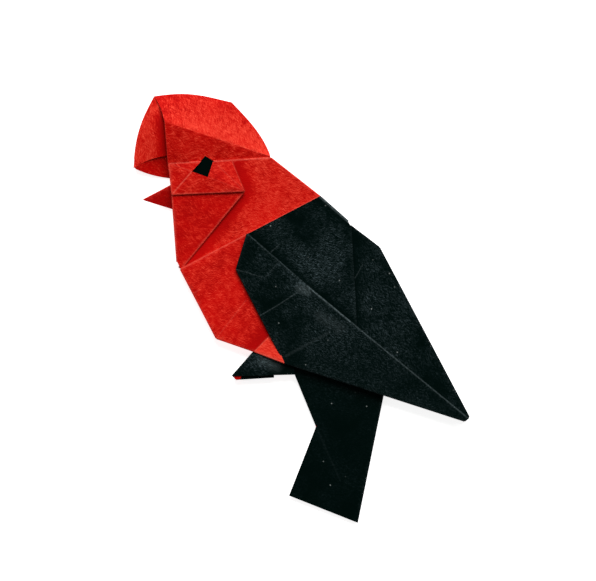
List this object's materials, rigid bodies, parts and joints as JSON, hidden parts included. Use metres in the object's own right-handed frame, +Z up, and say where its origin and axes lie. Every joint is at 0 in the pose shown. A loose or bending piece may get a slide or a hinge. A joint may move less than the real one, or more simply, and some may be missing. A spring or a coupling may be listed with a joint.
{
  "type": "folded paper bird",
  "caption": "Flat-folded bird of two-coloured paper lying on its side, with a raised crest, short beak, layered wing, small foot and stepped tail; a table or wall ornament.",
  "frame": {"origin": "centre of the bounding box in plan, on the plane of the side that the bird lies on", "axes": "+Z up out of the side that is seen, +Y from tail to crest, +X from beak to wing tip"},
  "size_m": [0.0844, 0.1074, 0.0076],
  "materials": {
    "fibre_paper": "matt long-fibred paper, red on one face and black on the other"
  },
  "bodies": {
    "root": {"folded_bird": "fibre_paper"}
  },
  "joints": []
}
